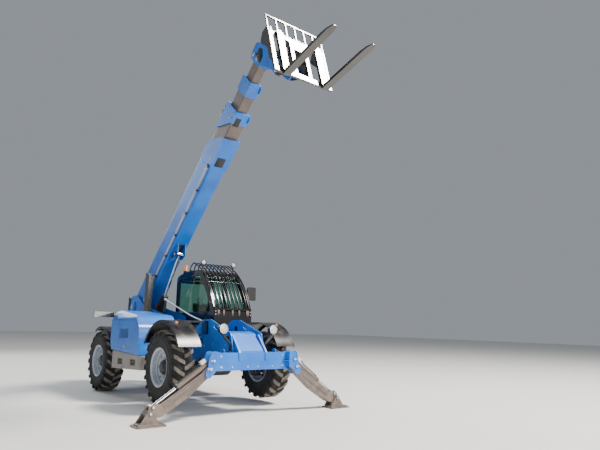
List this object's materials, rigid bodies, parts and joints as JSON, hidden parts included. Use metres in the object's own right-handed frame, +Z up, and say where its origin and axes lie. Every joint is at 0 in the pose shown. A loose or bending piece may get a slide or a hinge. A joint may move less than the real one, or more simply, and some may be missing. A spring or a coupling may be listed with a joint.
{
  "type": "telescopic handler",
  "caption": "Wheeled telescopic handler on front stabilisers with a raised multi-stage boom, fork carriage, cab and engine lid.",
  "frame": {"origin": "centre of the overall box on the ground, boom raised and stabilisers down", "axes": "+Z up, forks point to -Y, cab on +X; +Y to the counterweight end"},
  "size_m": [4.08, 7.5957, 6.7211],
  "materials": {
    "body_blue": "gloss",
    "boom_taupe": "satin",
    "black_paint": "gloss",
    "fork_steel": "satin",
    "engine_iron": "matte",
    "tank_plastic": "matte",
    "guard_plastic": "satin",
    "rod_chrome": "polished",
    "rim_grey": "satin",
    "tyre": "matte",
    "cab_glass": "clear",
    "seat_cover": "matte",
    "wheel_grip": "matte",
    "beacon_orange": "gloss"
  },
  "bodies": {
    "chassis": {"chassis_frame": "body_blue", "stabiliser_beam": "body_blue", "counterweight": "body_blue", "front_axle": "black_paint", "rear_axle": "black_paint", "mudguards": "guard_plastic", "side_sill": "boom_taupe", "engine_block": "engine_iron", "bonnet_rail": "black_paint", "fuel_tank": "tank_plastic", "cab_shell": "black_paint", "cab_glass": "cab_glass", "cab_guard": "black_paint", "seat": "seat_cover", "dash": "tank_plastic", "steering_wheel": "wheel_grip", "headlamps": "black_paint", "work_lamps": "black_paint", "beacon": "beacon_orange", "mirror_left": "black_paint", "mirror_rear": "black_paint", "hose_guard": "black_paint"},
    "bonnet": {"bonnet_lid": "body_blue"},
    "door": {"cab_door": "black_paint", "cab_door_glass": "cab_glass"},
    "boom": {"boom_main": "body_blue"},
    "second": {"boom_second": "boom_taupe", "boom_second_collar": "body_blue"},
    "third": {"boom_third": "boom_taupe", "boom_third_collar": "body_blue"},
    "inner": {"boom_inner": "boom_taupe", "boom_head": "body_blue"},
    "tool": {"carriage": "black_paint", "forks": "fork_steel"},
    "lift_barrel": {"lift_barrel": "black_paint"},
    "lift_rod": {"lift_rod": "rod_chrome"},
    "tilt_barrel": {"tilt_barrel": "black_paint"},
    "tilt_rod": {"tilt_rod": "rod_chrome"},
    "leg_left": {"leg_left": "boom_taupe"},
    "leg_barrel_left": {"leg_barrel_left": "boom_taupe"},
    "leg_rod_left": {"leg_rod_left": "rod_chrome"},
    "pad_left": {"pad_left": "boom_taupe"},
    "leg_right": {"leg_right": "boom_taupe"},
    "leg_barrel_right": {"leg_barrel_right": "boom_taupe"},
    "leg_rod_right": {"leg_rod_right": "rod_chrome"},
    "pad_right": {"pad_right": "boom_taupe"},
    "hub_front_left": {"knuckle_front_left": "black_paint"},
    "wheel_front_left": {"rim_front_left": "rim_grey", "tyre_front_left": "tyre"},
    "hub_front_right": {"knuckle_front_right": "black_paint"},
    "wheel_front_right": {"rim_front_right": "rim_grey", "tyre_front_right": "tyre"},
    "hub_rear_left": {"knuckle_rear_left": "black_paint"},
    "wheel_rear_left": {"rim_rear_left": "rim_grey", "tyre_rear_left": "tyre"},
    "hub_rear_right": {"knuckle_rear_right": "black_paint"},
    "wheel_rear_right": {"rim_rear_right": "rim_grey", "tyre_rear_right": "tyre"}
  },
  "joints": [
    {"name": "steer_front_left", "type": "hinge", "parent": "chassis", "child": "hub_front_left", "pos_m": [0.888, -0.31387, 0.71072], "axis": [0, 0.0279, 0.9996], "range_deg": [-28, 28]},
    {"name": "roll_front_left", "type": "hinge", "parent": "hub_front_left", "child": "wheel_front_left", "pos_m": [1.01, -0.31387, 0.71072], "axis": [1, 0, 0], "continuous": true},
    {"name": "steer_front_right", "type": "hinge", "parent": "chassis", "child": "hub_front_right", "pos_m": [-0.888, -0.31387, 0.71072], "axis": [0, 0.0279, 0.9996], "range_deg": [-28, 28]},
    {"name": "roll_front_right", "type": "hinge", "parent": "hub_front_right", "child": "wheel_front_right", "pos_m": [-1.01, -0.31387, 0.71072], "axis": [1, 0, 0], "continuous": true},
    {"name": "steer_rear_left", "type": "hinge", "parent": "chassis", "child": "hub_rear_left", "pos_m": [0.888, 2.75493, 0.625], "axis": [0, 0.0279, 0.9996], "range_deg": [-28, 28]},
    {"name": "roll_rear_left", "type": "hinge", "parent": "hub_rear_left", "child": "wheel_rear_left", "pos_m": [1.01, 2.75493, 0.625], "axis": [1, 0, 0], "continuous": true},
    {"name": "steer_rear_right", "type": "hinge", "parent": "chassis", "child": "hub_rear_right", "pos_m": [-0.888, 2.75493, 0.625], "axis": [0, 0.0279, 0.9996], "range_deg": [-28, 28]},
    {"name": "roll_rear_right", "type": "hinge", "parent": "hub_rear_right", "child": "wheel_rear_right", "pos_m": [-1.01, 2.75493, 0.625], "axis": [1, 0, 0], "continuous": true},
    {"name": "boom_lift", "type": "hinge", "parent": "chassis", "child": "boom", "pos_m": [0, 3.40528, 1.8103], "axis": [-1, 0, 0], "range_deg": [-44.9, 27.1]},
    {"name": "boom_extend", "type": "slide", "parent": "boom", "child": "second", "axis": [0, -0.7132, 0.7009], "range_m": [-0.32, 3.3]},
    {"name": "third_extend", "type": "slide", "parent": "second", "child": "third", "axis": [0, -0.7132, 0.7009], "range_m": [-0.32, 3.3]},
    {"name": "inner_extend", "type": "slide", "parent": "third", "child": "inner", "axis": [0, -0.7132, 0.7009], "range_m": [-0.32, 3.3]},
    {"name": "carriage_tilt", "type": "hinge", "parent": "inner", "child": "tool", "pos_m": [0, -2.04083, 5.83445], "axis": [1, 0, 0], "range_deg": [-42, 75]},
    {"name": "lift_barrel_turn", "type": "hinge", "parent": "chassis", "child": "lift_barrel", "pos_m": [0, 2.98469, 0.89969], "axis": [-1, 0, 0], "range_deg": [-36.64, 22.32]},
    {"name": "lift_rod_slide", "type": "slide", "parent": "lift_barrel", "child": "lift_rod", "axis": [0, -0.5531, 0.8331], "range_m": [-0.78865, 0.47798]},
    {"name": "tilt_barrel_turn", "type": "hinge", "parent": "inner", "child": "tilt_barrel", "pos_m": [0, -1.20368, 6.49374], "axis": [1, 0, 0], "range_deg": [-1.76, 2.75]},
    {"name": "tilt_rod_slide", "type": "slide", "parent": "tilt_barrel", "child": "tilt_rod", "axis": [0, -0.9268, -0.3755], "range_m": [-0.17893, 0.31716]},
    {"name": "leg_left", "type": "hinge", "parent": "chassis", "child": "leg_left", "pos_m": [0.856, -1.41802, 0.75657], "axis": [0, 0.9996, -0.0279], "range_deg": [-108, 0]},
    {"name": "leg_barrel_turn_left", "type": "hinge", "parent": "chassis", "child": "leg_barrel_left", "pos_m": [0.806, -1.41459, 0.87952], "axis": [0, 0.9996, -0.0279], "range_deg": [-108.16, 0.5]},
    {"name": "leg_rod_slide_left", "type": "slide", "parent": "leg_barrel_left", "child": "leg_rod_left", "axis": [0.8354, -0.0153, -0.5495], "range_m": [-0.21775, 0.003]},
    {"name": "pad_tip_left", "type": "hinge", "parent": "leg_left", "child": "pad_left", "pos_m": [1.815, -1.43455, 0.165], "axis": [0, 0.9996, -0.0279], "range_deg": [-20, 20]},
    {"name": "leg_right", "type": "hinge", "parent": "chassis", "child": "leg_right", "pos_m": [-0.856, -1.41802, 0.75657], "axis": [0, -0.9996, 0.0279], "range_deg": [-108, 0]},
    {"name": "leg_barrel_turn_right", "type": "hinge", "parent": "chassis", "child": "leg_barrel_right", "pos_m": [-0.806, -1.41459, 0.87952], "axis": [0, -0.9996, 0.0279], "range_deg": [-108.16, 0.5]},
    {"name": "leg_rod_slide_right", "type": "slide", "parent": "leg_barrel_right", "child": "leg_rod_right", "axis": [-0.8354, -0.0153, -0.5495], "range_m": [-0.21775, 0.003]},
    {"name": "pad_tip_right", "type": "hinge", "parent": "leg_right", "child": "pad_right", "pos_m": [-1.815, -1.43455, 0.165], "axis": [0, -0.9996, 0.0279], "range_deg": [-20, 20]},
    {"name": "cab_door", "type": "hinge", "parent": "chassis", "child": "door", "pos_m": [1.168, 1.53864, 1.63435], "axis": [0, 0.0279, 0.9996], "range_deg": [0, 80]},
    {"name": "bonnet_lift", "type": "hinge", "parent": "chassis", "child": "bonnet", "pos_m": [-0.388, 1.41023, 1.54991], "axis": [0, 0.9996, -0.0279], "range_deg": [0, 60]}
  ],
  "couplings": [
    {"joint": "steer_front_right", "follows": "steer_front_left", "ratio": 1},
    {"joint": "steer_rear_right", "follows": "steer_rear_left", "ratio": 1},
    {"joint": "third_extend", "follows": "boom_extend", "ratio": 1},
    {"joint": "inner_extend", "follows": "boom_extend", "ratio": 1},
    {"joint": "lift_barrel_turn", "follows": "boom_lift", "ratio": 0.805},
    {"joint": "lift_rod_slide", "follows": "boom_lift", "m_per_rad": 1},
    {"joint": "tilt_barrel_turn", "follows": "carriage_tilt", "ratio": 0.03},
    {"joint": "tilt_rod_slide", "follows": "carriage_tilt", "m_per_rad": 0.24},
    {"joint": "leg_barrel_turn_left", "follows": "leg_left", "ratio": 0.99688},
    {"joint": "leg_rod_slide_left", "follows": "leg_left", "m_per_rad": 0.11393},
    {"joint": "leg_barrel_turn_right", "follows": "leg_right", "ratio": 0.99688},
    {"joint": "leg_rod_slide_right", "follows": "leg_right", "m_per_rad": 0.11393}
  ]
}
